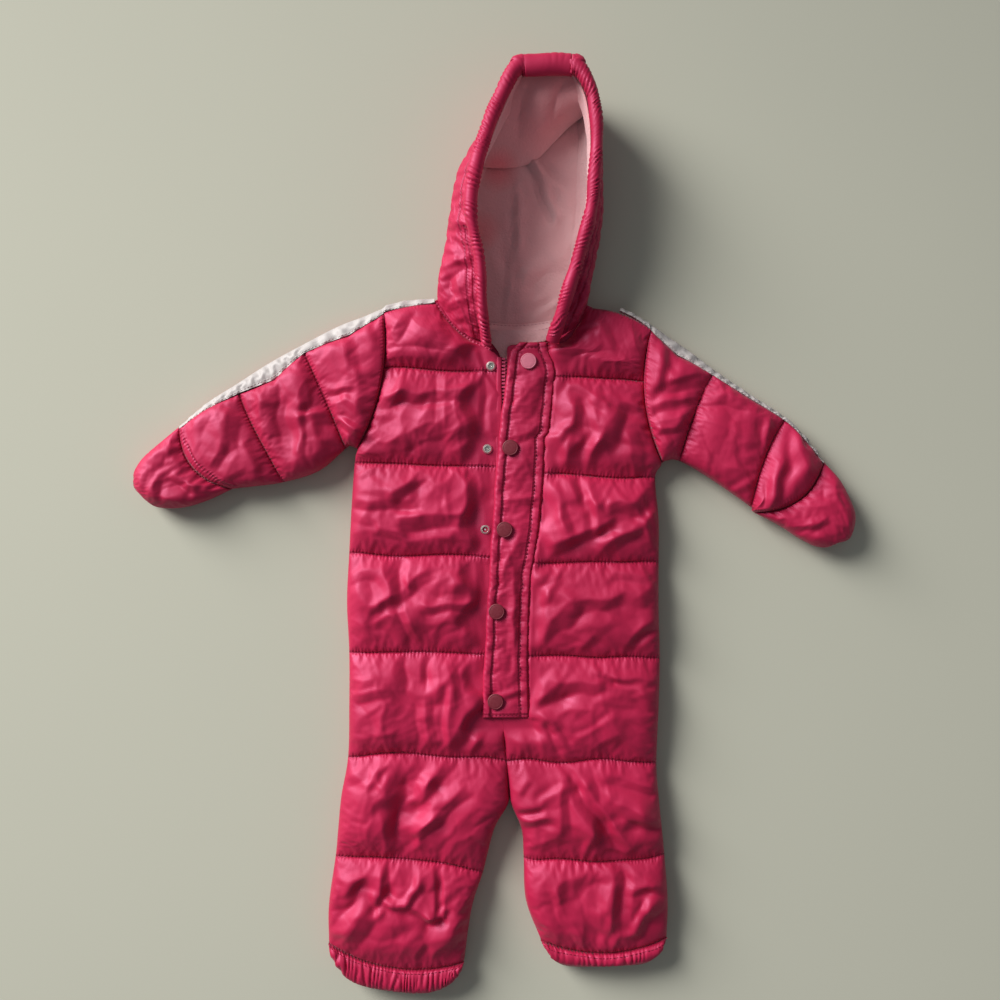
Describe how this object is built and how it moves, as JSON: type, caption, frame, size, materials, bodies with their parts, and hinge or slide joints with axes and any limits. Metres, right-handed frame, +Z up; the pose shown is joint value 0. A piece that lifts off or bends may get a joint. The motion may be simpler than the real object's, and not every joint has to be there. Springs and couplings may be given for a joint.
{
  "type": "baby snowsuit",
  "caption": "Quilted, padded baby snowsuit with a fleece-lined hood, snap placket over a zip and fold-over mitts, laid flat on its back.",
  "frame": {"origin": "centre of the garment's box in plan, on the surface that its back lies on", "axes": "+Y from the feet to the hood, +Z up from the surface through the front, +X towards the wearer's left"},
  "size_m": [0.64, 0.8154, 0.0671],
  "materials": {
    "satin_shell": "satin",
    "pale_fleece": "brushed pile",
    "white_band": "satin",
    "snap_enamel": "matte",
    "snap_metal": "polished",
    "zip_teeth": "satin"
  },
  "bodies": {
    "root": {"right_front": "satin_shell", "left_front": "satin_shell", "right_back": "satin_shell", "left_back": "satin_shell", "right_hem_front": "satin_shell", "right_hem_back": "satin_shell", "left_hem_front": "satin_shell", "left_hem_back": "satin_shell", "placket_flap": "satin_shell", "right_sleeve_front": "satin_shell", "right_sleeve_back": "satin_shell", "left_sleeve_front": "satin_shell", "left_sleeve_back": "satin_shell", "right_mitt_front": "satin_shell", "right_mitt_back": "satin_shell", "left_mitt_front": "satin_shell", "left_mitt_back": "satin_shell", "hood_right_side": "satin_shell", "hood_centre": "satin_shell", "hood_left_side": "satin_shell", "hood_rim_right": "satin_shell", "hood_rim_top": "satin_shell", "hood_rim_left": "satin_shell", "hood_lining": "pale_fleece", "neck_strip": "pale_fleece", "neck_facing": "pale_fleece", "right_band": "white_band", "left_band": "white_band", "snap_cap_1": "snap_enamel", "snap_cap_2": "snap_enamel", "snap_cap_3": "snap_enamel", "snap_cap_4": "snap_enamel", "snap_cap_5": "snap_enamel", "snap_socket_1": "snap_metal", "snap_socket_2": "snap_metal", "snap_socket_3": "snap_metal", "zip_chain": "zip_teeth"}
  },
  "joints": []
}
